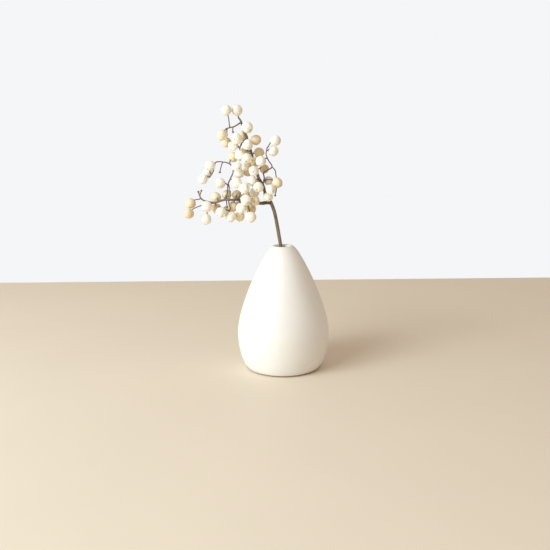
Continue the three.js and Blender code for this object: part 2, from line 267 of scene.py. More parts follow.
# Small round specks: 1 inside the given size around scattered points, 0 outside.
def makeSpecks():
    group, start, end = newGroup(
        "specks",
        [
            ("Vector", "NodeSocketVector", None),
            ("Scale", "NodeSocketFloat", 300.0),
            ("Size", "NodeSocketFloat", 0.15),
        ],
        [("Amount", "NodeSocketFloat")],
    )
    cells = addNode(group, "ShaderNodeTexVoronoi", feature="F1")
    inside = addNode(group, "ShaderNodeMath", operation="DIVIDE")
    turned = addNode(group, "ShaderNodeMath", operation="SUBTRACT", use_clamp=True)
    turned.inputs[0].default_value = 1.0
    group.links.new(start.outputs["Vector"], cells.inputs["Vector"])
    group.links.new(start.outputs["Scale"], cells.inputs["Scale"])
    group.links.new(cells.outputs["Distance"], inside.inputs[0])
    group.links.new(start.outputs["Size"], inside.inputs[1])
    group.links.new(inside.outputs[0], turned.inputs[1])
    group.links.new(turned.outputs[0], end.inputs["Amount"])
    return group


mottle = makeMottle()
specks = makeSpecks()
print("node groups ready")


# A new material: its tree, its shader, and the coordinates that its patterns follow.
def startMaterial(name):
    material = bpy.data.materials.new(name)
    material.use_nodes = True
    tree = material.node_tree
    shader = tree.nodes["Principled BSDF"]
    coordinates = tree.nodes.new("ShaderNodeTexCoord")
    return material, tree, shader, coordinates.outputs["Object"]


# A node group placed in a tree along the given coordinates. It gives the first output.
def useGroup(tree, group, vector, **values):
    node = tree.nodes.new("ShaderNodeGroup")
    node.node_tree = group
    tree.links.new(vector, node.inputs["Vector"])
    for key, value in values.items():
        node.inputs[key].default_value = value
    return node.outputs[0]


# The first colour where the amount is 0, the second where it is 1, and their blend between.
def mixColours(tree, amount, first, second):
    mix = tree.nodes.new("ShaderNodeMix")
    mix.data_type = "RGBA"
    for value, place in ((first, 6), (second, 7)):  # the node's two colour sockets
        if isinstance(value, tuple):
            mix.inputs[place].default_value = (*value, 1.0)
        else:
            tree.links.new(value, mix.inputs[place])
    tree.links.new(amount, mix.inputs[0])
    return mix.outputs[2]


# A value carried from one range to another, held at the ends.
def rangeOf(tree, value, fromLow, fromHigh, toLow, toHigh, smooth=False):
    node = tree.nodes.new("ShaderNodeMapRange")
    if smooth:
        node.interpolation_type = "SMOOTHSTEP"
    tree.links.new(value, node.inputs["Value"])
    for key, number in (("From Min", fromLow), ("From Max", fromHigh), ("To Min", toLow), ("To Max", toHigh)):
        node.inputs[key].default_value = number
    return node.outputs["Result"]


# One sum of two values or numbers.
def arithmetic(tree, operation, first, second, clamp=False):
    node = tree.nodes.new("ShaderNodeMath")
    node.operation = operation
    node.use_clamp = clamp
    for value, place in ((first, 0), (second, 1)):
        if isinstance(value, (int, float)):
            node.inputs[place].default_value = value
        else:
            tree.links.new(value, node.inputs[place])
    return node.outputs[0]


# Relief from a height, laid over the relief under it, into the shader.
def addBump(tree, shader, height, strength, distance, under=None):
    bump = tree.nodes.new("ShaderNodeBump")
    bump.inputs["Strength"].default_value = strength
    bump.inputs["Distance"].default_value = distance
    tree.links.new(height, bump.inputs["Height"])
    if under:
        tree.links.new(under, bump.inputs["Normal"])
    tree.links.new(bump.outputs["Normal"], shader.inputs["Normal"])
    return bump.outputs["Normal"]


# A value that is stored at a piece's points, read by its name.
def pointValue(tree, key):
    node = tree.nodes.new("ShaderNodeAttribute")
    node.attribute_name = key
    return node.outputs["Fac"]


glazeLook = {
    "white": (0.86, 0.845, 0.815),
    "cream": (0.80, 0.765, 0.70),
    # the foot's clay colour, darkened to paint the contact shadow under the foot
    "clay": (0.36, 0.25, 0.16),
    "speck": (0.48, 0.42, 0.34),
    "roughness": (0.36, 0.50),
    "bareRoughness": 0.85,
    "patchScale": 38.0,
    "patchContrast": 2.4,
    "patchShare": 0.45,
    "rimWear": 0.35,
    "rimWearFrom": 0.0872,
    "rimWearTo": 0.0890,
    "bareBelow": 0.0007,
    "glazedAbove": 0.0015,
    "pinholeScale": 210.0,
    "pinholeSize": 0.055,
    "pinholeShare": 0.5,
    "fineScale": 420.0,
    "fineContrast": 1.6,
    "ringScale": 62.0,
    "ringWander": 1.6,
    "ringRelief": (0.02, 0.0006),
    "fineRelief": (0.16, 0.0003),
    "pinholeRelief": (0.35, 0.0004),
    "coat": 0.12,
    "coatRoughness": 0.28,
    "refraction": 1.5,
}


# Satin white glaze: faint cream patches, a few pinholes, fine rings from the wheel, and bare clay under the foot,
# its colour made dark enough to paint the contact shadow where the foot meets the floor.
def makeGlaze():
    look = glazeLook
    material, tree, shader, place = startMaterial("satinGlaze")
    split = tree.nodes.new("ShaderNodeSeparateXYZ")
    tree.links.new(place, split.inputs[0])
    height = split.outputs["Z"]
    patches = useGroup(tree, mottle, place, Scale=look["patchScale"], Contrast=look["patchContrast"])
    creamy = arithmetic(tree, "MULTIPLY", patches, look["patchShare"])
    body = mixColours(tree, creamy, look["white"], look["cream"])
    worn = rangeOf(tree, height, look["rimWearFrom"], look["rimWearTo"], 0.0, look["rimWear"], smooth=True)
    body = mixColours(tree, worn, body, look["cream"])
    pinholes = useGroup(tree, specks, place, Scale=look["pinholeScale"], Size=look["pinholeSize"])
    dotted = arithmetic(tree, "MULTIPLY", pinholes, look["pinholeShare"])
    body = mixColours(tree, dotted, body, look["speck"])
    # the lowest band of the foot: unglazed clay, dark as painted contact shadow, and rough
    bareFootAndShadow = rangeOf(tree, height, look["bareBelow"], look["glazedAbove"], 1.0, 0.0, smooth=True)
    body = mixColours(tree, bareFootAndShadow, body, look["clay"])
    tree.links.new(body, shader.inputs["Base Color"])
    fine = useGroup(tree, mottle, place, Scale=look["fineScale"], Contrast=look["fineContrast"])
    satin = rangeOf(tree, fine, 0.0, 1.0, *look["roughness"])
    rough = arithmetic(tree, "MULTIPLY", bareFootAndShadow, look["bareRoughness"])
    tree.links.new(arithmetic(tree, "MAXIMUM", satin, rough), shader.inputs["Roughness"])
    rings = addNode(tree, "ShaderNodeTexWave", wave_type="BANDS", bands_direction="Z")
    rings.inputs["Scale"].default_value = look["ringScale"]
    rings.inputs["Distortion"].default_value = look["ringWander"]
    tree.links.new(place, rings.inputs["Vector"])
    wheel = addBump(tree, shader, rings.outputs["Fac"], *look["ringRelief"])
    grain = addBump(tree, shader, fine, *look["fineRelief"], under=wheel)
    raised = arithmetic(tree, "SUBTRACT", 1.0, pinholes)
    addBump(tree, shader, raised, *look["pinholeRelief"], under=grain)
    shader.inputs["Coat Weight"].default_value = look["coat"]
    shader.inputs["Coat Roughness"].default_value = look["coatRoughness"]
    shader.inputs["IOR"].default_value = look["refraction"]
    return material


barkLook = {
    "deepest": (0.060, 0.038, 0.028),
    "cutWood": (0.58, 0.47, 0.32),
    "darkReach": 10.0,
    "branchDark": 0.65,
    "sides": 18,
    "step": 0.45,
    "roughSteps": 200,
    "fewestRings": 10,
    "mostRings": 420,
    "ridge": 0.05,
    "smoothRidge": 0.4,
    "swelling": 0.16,
    "swellingLength": 0.7,
    "swellingSpacing": 7.5,
    "swellingShift": 3.1,
    "rootFlare": 0.35,
    "flareLength": 0.9,
    "kink": 0.07,
    "kinkRate": 0.9,
    "kinkEase": 3,
    "rodSalt": 1.7,
    "streakStretch": 260.0,
    "streakContrast": 3.0,
    "streakShare": 0.6,
    "patchScale": 170.0,
    "patchContrast": 2.2,
    "patchShare": 0.4,
    "roughness": (0.70, 0.92),
    "poreScale": 900.0,
    "poreSize": 0.28,
    "streakRelief": (0.55, 0.00025),
    "poreRelief": (0.3, 0.0002),
    "shine": 0.3,
}


# Dry bark: dark and light streaks along the twig, broken by patches, with raised ridges. Tone darkens it, and
# tip shows the pale wood of a cut end.
def makeBark(name, dark, light, streakScale):
    look = barkLook
    material, tree, shader, place = startMaterial(name)
    lengthwise = tree.nodes.new("ShaderNodeUVMap")
    lengthwise.uv_map = "alongAround"
    stretch = tree.nodes.new("ShaderNodeMapping")
    stretch.inputs["Scale"].default_value = (look["streakStretch"], streakScale, 1.0)
    tree.links.new(lengthwise.outputs["UV"], stretch.inputs["Vector"])
    streaks = useGroup(tree, mottle, stretch.outputs["Vector"], Scale=1.0, Contrast=look["streakContrast"])
    patches = useGroup(tree, mottle, place, Scale=look["patchScale"], Contrast=look["patchContrast"])
    streaky = arithmetic(tree, "MULTIPLY", streaks, look["streakShare"])
    patchy = arithmetic(tree, "MULTIPLY", patches, look["patchShare"])
    colour = mixColours(tree, arithmetic(tree, "ADD", streaky, patchy), dark, light)
    colour = mixColours(tree, pointValue(tree, "tone"), colour, look["deepest"])
    colour = mixColours(tree, pointValue(tree, "tip"), colour, look["cutWood"])
    tree.links.new(colour, shader.inputs["Base Color"])
    tree.links.new(rangeOf(tree, patches, 0.0, 1.0, *look["roughness"]), shader.inputs["Roughness"])
    ridges = addBump(tree, shader, streaks, *look["streakRelief"])
    pores = useGroup(tree, specks, place, Scale=look["poreScale"], Size=look["poreSize"])
    addBump(tree, shader, pores, *look["poreRelief"], under=ridges)
    shader.inputs["Specular IOR Level"].default_value = look["shine"]
    return material


skinLook = {
    "patchScale": 150.0,
    "patchContrast": 2.6,
    "patchShare": 0.55,
    "toneShare": 0.45,
    "poreScale": 1500.0,
    "poreSize": 0.22,
    "poreShare": 0.35,
    "roughness": (0.42, 0.62),
    "creaseScale": 520.0,
    "creaseContrast": 1.8,
    "creaseRelief": (0.22, 0.0004),
    "poreRelief": (0.18, 0.0002),
    "waxiness": 0.22,
    "waxColour": (1.0, 0.62, 0.30),
    "waxDepth": 0.0016,
}


# Waxy dry skin: cream to tan by patches and by tone, which is random age for most fruits and painted shade for the
# fruits behind the twigs; brown at both poles, with pores and shallow creases.
def makeSkin(name, pale, deep, husk, ageAndShadeShare):
    look = skinLook
    material, tree, shader, place = startMaterial(name)
    patches = useGroup(tree, mottle, place, Scale=look["patchScale"], Contrast=look["patchContrast"])
    cloudy = arithmetic(tree, "MULTIPLY", patches, look["patchShare"])
    olderAndShaded = arithmetic(tree, "MULTIPLY", pointValue(tree, "tone"), look["toneShare"])
    ageAndShade = arithmetic(tree, "ADD", cloudy, olderAndShaded, clamp=True)
    skin = mixColours(tree, arithmetic(tree, "MULTIPLY", ageAndShade, ageAndShadeShare), pale, deep)
    pores = useGroup(tree, specks, place, Scale=look["poreScale"], Size=look["poreSize"])
    skin = mixColours(tree, arithmetic(tree, "MULTIPLY", pores, look["poreShare"]), skin, deep)
    skin = mixColours(tree, pointValue(tree, "tip"), skin, husk)
    tree.links.new(skin, shader.inputs["Base Color"])
    tree.links.new(rangeOf(tree, patches, 0.0, 1.0, *look["roughness"]), shader.inputs["Roughness"])
    creases = useGroup(tree, mottle, place, Scale=look["creaseScale"], Contrast=look["creaseContrast"])
    soft = addBump(tree, shader, creases, *look["creaseRelief"])
    addBump(tree, shader, pores, *look["poreRelief"], under=soft)
    shader.inputs["Subsurface Weight"].default_value = look["waxiness"]
    shader.inputs["Subsurface Radius"].default_value = look["waxColour"]
    shader.inputs["Subsurface Scale"].default_value = look["waxDepth"]
    return material


barks = {
    "darkBark": {"dark": (0.10, 0.070, 0.048), "light": (0.34, 0.265, 0.195), "streakScale": 5.0},
    "thinBark": {"dark": (0.105, 0.078, 0.066), "light": (0.30, 0.245, 0.20), "streakScale": 4.0},
}
fruitSkins = {
    "paleSkin": {
        "pale": (0.96, 0.93, 0.84),
        "deep": (0.84, 0.73, 0.52),
        "husk": (0.22, 0.145, 0.085),
        "ageAndShadeShare": 0.36,
    },
    # the tan skin is the pale skin darkened as painted shade, for the fruits that sit in shade among the others
    "shadedTanSkin": {
        "pale": (0.91, 0.82, 0.63),
        "deep": (0.70, 0.53, 0.31),
        "husk": (0.18, 0.115, 0.065),
        "ageAndShadeShare": 0.74,
    },
}


satinGlaze = makeGlaze()
darkBark, thinBark = (makeBark(name, **colours) for name, colours in barks.items())
paleSkin, shadedTanSkin = (makeSkin(name, **colours) for name, colours in fruitSkins.items())
print("materials ready")


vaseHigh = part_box("vase_body")[1]
vase = {
    "height": vaseHigh.z / mm,
    "bellyRadius": vaseHigh.x / mm,
    "bellyHeight": 26.0,
    "footRadius": 25.6,
    "footFlare": 0.45,
    "footFlareHeight": 0.1,
    "belowBelly": 0.46,
    "aboveBelly": 0.25,
    "shoulderRadius": 12.2,
    "shoulderBelowRim": 6.0,
    "shoulderSpread": 0.4,
    "belowShoulder": 0.23,
    "rimRadius": 6.6,
    "lipInset": 1.5,
    "lipRise": 2.3,
    "lipOverhang": 1.6,
    "mouthRadius": 4.8,
    "boreClear": 0.4,
    "boreDepth": 4.0,
    "boreRise": 1.33,
    "wall": 4.0,
    "floor": 5.0,
    "floorClear": 1.0,
    "floorEase": (0.7, 2.0, 4.0),
    "floorEaseRise": 0.3,
    "floorGap": 1.5,
    "centreGap": 1.0,
    "footEdge": 1.3,
    "footEdgeRise": 0.7,
    "footEaseIn": 0.9,
    "footEaseOut": 0.45,
    "footEaseUp": 0.6,
    "wheelWave": 0.015,
    "wheelTurns": 1.35,
    "outOfRound": 0.12,
    "fadeAtFoot": (1.5, 12),
    "fadeAtRim": (3, 10),
}
vaseSteps = {
    "under": 12, "foot": 10, "lower": 46, "upper": 60, "lip": 18, "lipTurn": 9, "floorEdge": 8, "floor": 10,
    "around": 160,
}


# The outside from the foot to the rim: three cubic curves that meet with one slope.
def outerProfile():
    v, steps = vase, vaseSteps
    foot, belly, shoulder, rim = (v[k] for k in ("footRadius", "bellyRadius", "shoulderRadius", "rimRadius"))
    bellyHeight, top = v["bellyHeight"], v["height"]
    shoulderHeight = top - v["shoulderBelowRim"]
    rise = shoulderHeight - bellyHeight
    lower = bezier(
        [
            (foot, 0),
            (foot + (belly - foot) * v["footFlare"], bellyHeight * v["footFlareHeight"]),
            (belly, bellyHeight * v["belowBelly"]),
            (belly, bellyHeight),
        ],
        steps["lower"],
    )
    upper = bezier(
        [
            (belly, bellyHeight),
            (belly, bellyHeight + rise * v["aboveBelly"]),
            (shoulder + (belly - shoulder) * v["shoulderSpread"], shoulderHeight - rise * v["belowShoulder"]),
            (shoulder, shoulderHeight),
        ],
        steps["upper"],
    )
    lip = bezier(
        [
            (shoulder, shoulderHeight),
            (shoulder - v["lipInset"], shoulderHeight + v["lipRise"]),
            (rim + v["lipOverhang"], top),
            (rim, top),
        ],
        steps["lip"],
    )
    return np.vstack([lower, upper[1:], lip[1:]])


# The whole profile: underside, eased foot edge, outside, round lip, bore, then the outside moved in by the
# wall's thickness, and the floor.
def vaseProfile():
    v, steps = vase, vaseSteps
    outside = outerProfile()
    along = unit(np.gradient(outside, axis=0))
    inside = outside + np.stack([-along[:, 1], along[:, 0]], axis=1) * v["wall"]
    aboveFloor = inside[:, 1] > v["floor"] + v["floorClear"]
    outsideBore = inside[:, 0] > v["mouthRadius"] + v["boreClear"]
    belowRim = inside[:, 1] < v["height"] - v["boreDepth"]
    inside = inside[aboveFloor & outsideBore & belowRim]
    lipRadius = v["rimRadius"] - v["mouthRadius"]
    turn = np.linspace(0, math.pi / 2, steps["lipTurn"])[1:]
    lip = np.stack(
        [v["rimRadius"] - lipRadius * np.sin(turn), v["height"] - lipRadius * (1 - np.cos(turn))], axis=1
    )
    bore = [(v["mouthRadius"], inside[-1, 1] + v["boreRise"])]
    flat = v["footRadius"] - v["footEdge"]
    under = np.stack([np.linspace(v["centreGap"], flat, steps["under"]), np.zeros(steps["under"])], axis=1)
    outside = outside[outside[:, 1] > v["footEdge"] * v["footEdgeRise"]]
    out, up = outside[0]
    foot = bezier(
        [(flat, 0), (flat + v["footEaseIn"], 0), (out - v["footEaseOut"], up - v["footEaseUp"]), (out, up)],
        steps["foot"],
    )[1:-1]
    edge, low = inside[0, 0], v["floor"]
    near, middle, far = v["floorEase"]
    floorEdge = bezier(
        [inside[0], (edge - near, low + v["floorEaseRise"]), (edge - middle, low), (edge - far, low)],
        steps["floorEdge"],
    )
    floorRadius = np.linspace(floorEdge[-1, 0] - v["floorGap"], v["centreGap"], steps["floor"])
    floor = np.stack([floorRadius, np.full(steps["floor"], low)], axis=1)
    return np.vstack([under, foot, outside, lip, bore, inside[::-1], floorEdge[1:], floor])


# The profile turned about the upright axis. The radius carries faint wheel waves and is very slightly out of
# round, and both fade towards the foot and the rim.
def vaseGrid():
    v = vase
    profile = vaseProfile()
    angle = np.linspace(0, 2 * math.pi, vaseSteps["around"], endpoint=False)[None, :]
    radius, height = profile[:, :1], profile[:, 1:]
    (footStart, footFade), (rimStart, rimFade) = v["fadeAtFoot"], v["fadeAtRim"]
    fromFoot = np.clip((height - footStart) / footFade, 0, 1)
    fromRim = np.clip((v["height"] - rimStart - height) / rimFade, 0, 1)
    away = fromFoot * fromRim
    waves = v["wheelWave"] * np.sin(height * v["wheelTurns"] + 0.5 * np.cos(angle)) * away
    oval = v["outOfRound"] * (np.cos(2 * angle + 0.6) + 0.5 * np.cos(3 * angle + height * 0.03)) * away
    radius = radius + waves + oval - v["outOfRound"] * away
    upright = np.broadcast_to(height, radius.shape)
    return np.stack([radius * np.cos(angle), radius * np.sin(angle), upright], axis=-1) * mm


makePiece(
    "vaseBody",
    [{"grid": vaseGrid(), "poles": [(0, 0, 0), (0, 0, vase["floor"] * mm)], "material": 0}],
    [satinGlaze],
    "vase",
    ["vase_body"],
)
print("vase made")


liftAxis = next(joint["axis"] for joint in frame["joints"] if joint["name"] == "sprig_lift")
sprig = {
    "rimContactAngle": 117.0,
    "leanX": liftAxis[0] / liftAxis[2],
    "leanY": liftAxis[1] / liftAxis[2],
    "stemRadius": 1.4,
    "forkRadius": 1.2,
    "stemTopRadius": 0.6,
    "branchRadius": 1.25,
    "twigRadius": 0.5,
    "tipRadius": 0.4,
    "stalkRadius": 0.35,
    "knobRadius": 0.75,
    "gap": 0.3,
}

# The middle of the stem at the level of the rim: the sprig's points are counted from it, in millimetres.
rimContact = vase["mouthRadius"] - sprig["stemRadius"] - sprig["gap"]
contactAngle = math.radians(sprig["rimContactAngle"])
contactX = rimContact * math.cos(contactAngle)
contactY = rimContact * math.sin(contactAngle)
sprigOrigin = np.array([contactX, contactY, vase["height"]])
lean = math.hypot(sprig["leanX"], sprig["leanY"])
stemFoot = vase["floor"] + sprig["gap"] + sprig["stemRadius"] * lean - vase["height"]


# A point on the straight lower part of the stem, at a height above the rim.
def onStem(height):
    return (sprig["leanX"] * height, sprig["leanY"] * height, height)


# Each twig: its rods as points with a start and an end radius, its bare knobs, and the point inside its
# parent's wood.
twigs = {
    "main_stem": {
        "slot": "bark",
        "root": None,
        "rods": [
            (
                [
                    (-6, -2, 29), (-7, -2, 31.5), (-10, -2.5, 34.5), (-11, -3, 39), (-12, -2.5, 42.5),
                    (-13.5, -1.5, 45), (-15.5, 0, 49), (-17, 2, 54.5), (-19.5, 1.5, 63.5), (-21.5, -0.5, 72),
                    (-25, -3, 80.5), (-26.5, -4, 86.5), (-28, -4.5, 88.5),
                ],
                "forkRadius",
                "stemTopRadius",
            ),
            (
                [
                    onStem(stemFoot), onStem(stemFoot * 0.5), (0, 0, 0), onStem(9), onStem(16),
                    (-4, -1.4, 23), (-6, -2, 29), (-7, -2, 31.5),
                ],
                "stemRadius",
                "forkRadius",
            ),
        ],
        "knobs": [],
    },
    "left_branch": {
        "slot": "bark",
        "root": (-6.6, -2, 30.6),
        "rods": [
            (
                [
                    (-8.9, -2, 30.3), (-14, -2, 30), (-21, -1.8, 30.7), (-26.5, -3.5, 32.3),
                    (-33.5, -6.5, 33), (-39.5, -7, 33), (-45, -8, 31.3), (-52, -7.5, 32.5), (-55, -8, 34.5),
                    (-56.5, -8.5, 39),
                ],
                "branchRadius",
                "tipRadius",
            ),
            (
                [(-32, -6.2, 33), (-31, -8, 35.3), (-28.5, -10, 38), (-26.7, -10.8, 36)],
                "stalkRadius",
                "stalkRadius",
            ),
            ([(-55.6, -8.2, 36), (-55, -8.8, 38), (-54.2, -9.5, 39.8)], "stalkRadius", "stalkRadius"),
        ],
        "knobs": [(-26.7, -10.8, 36), (-54.2, -9.5, 39.8), (-56.5, -8.5, 39)],
    },
    "right_twig": {
        "slot": "thin_bark",
        "root": (-12.3, -2.6, 42.8),
        "rods": [
            (
                [
                    (-12, -3.9, 43.6), (-11, -5, 48), (-11.5, -4.5, 51), (-9, -6, 53), (-5.5, -8, 55.5),
                    (-8, -8, 60), (-9.5, -8, 64), (-8.7, -9, 68.5),
                ],
                "twigRadius",
                "stalkRadius",
            ),
            (
                [
                    (-5.5, -8, 55.5), (-3.5, -6, 53), (-3, -4, 50.5), (-2.5, -2.5, 46.5), (-2.5, -2.5, 41),
                    (-3.5, -3, 35.5),
                ],
                "stalkRadius",
                "stalkRadius",
            ),
        ],
        "knobs": [(-3.5, -3, 35.5)],
    },
    "middle_twig": {
        "slot": "thin_bark",
        "root": (-39, -7, 33),
        "rods": [
            (
                [
                    (-38.5, -7.1, 34.4), (-37, -6, 36.5), (-36.5, -5, 40), (-36, -4, 44), (-34.5, -4, 47.5),
                    (-33, -4, 50.5), (-32.5, -3.5, 53.5), (-34, -4, 57), (-39.5, -4, 59), (-44.5, -4.5, 58.5),
                    (-45.3, -3, 55.5), (-46.5, -4.5, 52), (-48.5, -6, 49),
                ],
                "twigRadius",
                "stalkRadius",
            ),
            ([(-39.5, -4, 59), (-40.5, -6, 56), (-41.5, -6, 52)], "stalkRadius", "stalkRadius"),
            ([(-36, -4, 44), (-35.2, -6, 41.8), (-34.9, -6.5, 38.5)], "stalkRadius", "stalkRadius"),
        ],
        "knobs": [(-41.5, -6, 52), (-34.9, -6.5, 38.5)],
    },
    "inner_twig": {
        "slot": "thin_bark",
        "root": (-22.8, -1.6, 75.8),
        "rods": [
            (
                [(-22.2, -3, 75.4), (-24, -4.5, 73.5), (-26.5, -5, 70.8), (-27.5, -5.5, 68.5)],
                "twigRadius",
                "tipRadius",
            ),
            ([(-26.5, -5, 70.8), (-24.5, -6, 68.5), (-22.7, -6.5, 67)], "stalkRadius", "stalkRadius"),
        ],
        "knobs": [(-22.7, -6.5, 67)],
    },
    "upper_left_twig": {
        "slot": "bark",
        "root": (-26.4, -3.8, 85.6),
        "rods": [
            (
                [(-27, -4.5, 85.1), (-29.5, -6, 83.5), (-31.5, -7, 82.5), (-34, -7, 82), (-36.5, -8, 81.3)],
                "twigRadius",
                "tipRadius",
            ),
            ([(-31.5, -7, 82.5), (-31.9, -8, 81), (-31.8, -8.5, 79)], "stalkRadius", "stalkRadius"),
        ],
        "knobs": [(-31.8, -8.5, 79)],
    },
    "lower_twig": {
        "slot": "bark",
        "root": (-36, -6.8, 33),
        "rods": [
            (
                [(-35.8, -7.3, 31.9), (-35.3, -8.5, 29.5), (-34.8, -8, 27), (-35.5, -7, 25.8)],
                "twigRadius",
                "tipRadius",
            ),
        ],
        "knobs": [],
    },
}


# A tapered rod: rings across the path, with lengthwise ridges, a swelling at each bud scar, and a flared
# foot. A smooth one has weaker ridges and neither swellings nor kinks.
def rodGrid(points, startRadius, endRadius, salt, flare=0.0, smooth=False):
    look = barkLook
    rough = smoothPath(points, look["roughSteps"])
    length = np.linalg.norm(np.diff(rough, axis=0), axis=1).sum()
    count = int(np.clip(length / look["step"], look["fewestRings"], look["mostRings"]))
    path = smoothPath(points, count)
    side, up = acrossPath(path)
    place = np.linspace(0, length, count)[:, None]
    angle = np.linspace(0, 2 * math.pi, look["sides"], endpoint=False)[None, :]
    radius = startRadius + (endRadius - startRadius) * place / length
    spacing = look["swellingSpacing"]
    fromScar = (place + salt * look["swellingShift"]) % spacing - spacing / 2
    scars = look["swelling"] * bell(fromScar, look["swellingLength"]) * (0.0 if smooth else 1.0)
    broad = np.sin(5 * angle + place * 0.35 + salt)
    fine = np.sin(3 * angle - place * 0.9 + 2 * salt) * np.sin(place * 1.7)
    ridges = look["ridge"] * (broad + 0.6 * fine)
    foot = flare * np.exp(-place / look["flareLength"])
    radius = radius * (1 + scars + ridges * (look["smoothRidge"] if smooth else 1.0) + foot)
    fromEnd = np.minimum(1, np.minimum(place, length - place) / look["kinkEase"])
    sway = look["kink"] * np.sin(place * look["kinkRate"] + salt) * fromEnd
    middle = path + side * sway * (0.0 if smooth else 1.0)
    ring = np.cos(angle)[..., None] * side[:, None, :] + np.sin(angle)[..., None] * up[:, None, :]
    grid = middle[:, None, :] + radius[..., None] * ring
    return grid, path[0], path[-1]


knobLook = {"rings": 12, "sides": 14, "poleGap": 0.15, "lobes": 0.12, "lip": 0.1, "squash": 0.9}


# The hard cup that a fallen fruit leaves: a small round body, widened near its far end by a lip.
def knobGrid(centre, radius, salt):
    look = knobLook
    polar = np.linspace(look["poleGap"], math.pi - look["poleGap"], look["rings"])[:, None]
    angle = np.linspace(0, 2 * math.pi, look["sides"], endpoint=False)[None, :]
    size = radius * (1 + look["lobes"] * np.cos(3 * angle + salt) + look["lip"] * np.sin(2 * polar + salt))
    grid = np.stack(
        [
            centre[0] + size * np.sin(polar) * np.cos(angle),
            centre[1] + size * np.sin(polar) * np.sin(angle),
            centre[2] + size * look["squash"] * np.cos(polar) * np.ones_like(angle),
        ],
        axis=-1,
    )
    toPole = np.array([0, 0, radius * look["squash"]])
    return grid, centre + toPole, centre - toPole


# A shape moved from the sprig's own frame to its place, in metres.
def skinOf(shape, material, **values):
    grid, startPole, endPole = shape
    poles = [(np.asarray(pole, float) + sprigOrigin) * mm for pole in (startPole, endPole)]
    return {"grid": (grid + sprigOrigin) * mm, "poles": poles, "material": material, **values}


# A twig: its rods one after another, the first rooted in its parent, and a knob at each bare end.
def makeTwig(name, twig, salt):
    look = barkLook
    material = darkBark if twig["slot"] == "bark" else thinBark
    skins = []
    for i, (points, startKey, endKey) in enumerate(twig["rods"]):
        rooted = i == 0 and twig["root"]
        if rooted:
            points = [twig["root"], *points]
        straight = points[0] == onStem(stemFoot)
        flare = look["rootFlare"] if rooted else 0.0
        shape = rodGrid(points, sprig[startKey], sprig[endKey], salt + i * look["rodSalt"], flare, straight)
        rows = len(shape[0])
        share = np.linspace(0, 1, rows)
        near = np.exp(-share * rows * look["step"] / look["darkReach"])
        darker = near * (look["branchDark"] if name == "left_branch" and rooted else 0.0)
        cut = (share == 0) * (1.0 if straight else 0.0)
        tone, tip = (np.append(np.repeat(v, look["sides"]), [v[0], v[-1]]) for v in (darker, cut))
        skins.append(skinOf(shape, 0, tone=tone, tip=tip))
    for i, knob in enumerate(twig["knobs"]):
        skins.append(skinOf(knobGrid(np.array(knob, float), sprig["knobRadius"], salt + i), 0))
    first, *rest = name.split("_")
    pieceName = first + "".join(word.title() for word in rest)
    makePiece(pieceName, skins, [material], "sprig", [name])


for i, (name, twig) in enumerate(twigs.items()):
    makeTwig(name, twig, i + 1.0)
print("twigs made:", len(twigs))

lineSteps = 120
fit = {"decimals": 3, "seed": 7, "tries": 300, "leastSpread": 1.0, "miss": 0.02, "stalkCorners": 5}


# A twig's first rod as even points, with the rod's radius at each: stalks leave from it.
def twigLine(name):
    points, startKey, endKey = twigs[name]["rods"][0]
    path = smoothPath(points, lineSteps + 1)
    share = np.linspace(0, 1, lineSteps + 1)
    return path, sprig[startKey] + (sprig[endKey] - sprig[startKey]) * share


wood = np.vstack([twigLine(name)[0] for name in twigs])


# A CAD node's points, counted from the sprig's origin, in millimetres.
def nodePoints(name):
    mesh = frame["nodes"][name].data
    flat = np.zeros(len(mesh.vertices) * 3, np.float32)
    mesh.vertices.foreach_get("co", flat)
    return flat.reshape(-1, 3).astype(float) / mm - sprigOrigin


# The sphere under a CAD fruit's points. Seeded draws of four points each give |p|^2 = 2 p.c + k, solved for
# the centre c and the constant k, and the radius is the root of k + |c|^2. The sphere that passes through
# the most points is the fruit's, because the stalk's points share none. Draws that lie too nearly flat are
# left out.
def fitSphere(points):
    corners = np.unique(np.round(points, fit["decimals"]), axis=0)
    order = np.random.default_rng(fit["seed"]).random((fit["tries"], len(corners))).argsort(axis=1)
    chosen = corners[order[:, :4]]
    system = np.concatenate([2 * chosen, np.ones((fit["tries"], 4, 1))], axis=2)
    sound = np.abs(np.linalg.det(system)) > fit["leastSpread"]
    squares = (chosen[sound] ** 2).sum(axis=2)[..., None]
    answers = np.linalg.solve(system[sound], squares)[..., 0]
    centres = answers[:, :3]
    radii = np.sqrt(np.maximum(answers[:, 3] + (centres ** 2).sum(axis=1), 0))
    misses = np.abs(np.linalg.norm(corners[None] - centres[:, None], axis=2) - radii[:, None])
    best = np.argmax((misses < fit["miss"]).sum(axis=1))
    return centres[best], radii[best]


# The far end of a CAD fruit's stalk: the middle of the points that lie farthest from the fruit's centre.
def stalkEnd(points, centre):
    corners = np.unique(np.round(points, fit["decimals"]), axis=0)
    farthest = np.argsort(np.linalg.norm(corners - centre, axis=1))[-fit["stalkCorners"]:]
    return corners[farthest].mean(axis=0)


# Where a stalk roots: the nearest point on any twig, the stalk's own end, and the direction between them.
def stalkRoot(end):
    onPath = wood[np.argmin(np.linalg.norm(wood - end, axis=1))]
    return onPath, end, unit(end - onPath)


fruitLook = {
    "rings": 26,
    "sides": 34,
    "poleGap": 0.05,
    "lobes": 0.028,
    "dents": 0.045,
    "leastDent": 0.3,
    "creases": 0.006,
    "stalkDimple": 0.07,
    "dimpleWidth": 0.28,
    "tipNib": 0.05,
    "nibWidth": 0.13,
    "nibMoat": 0.03,
    "moatPlace": 0.3,
    "moatWidth": 0.14,
    "longest": 0.05,
    "stalkBrown": (0.55, 0.20),
    "tipBrown": (0.9, 0.15),
    "poleBrown": (0.6, 0.95),
    "poleLift": 0.4,
    "stalkBend": 0.35,
    "leastBend": 0.4,
    "stalkDepth": 0.6,
    "stalkSteps": 9,
    "stalkThick": 1.05,
    "stalkThin": 0.95,
    "stalkFlare": 0.5,
    "stalkSalt": 0.7,
}


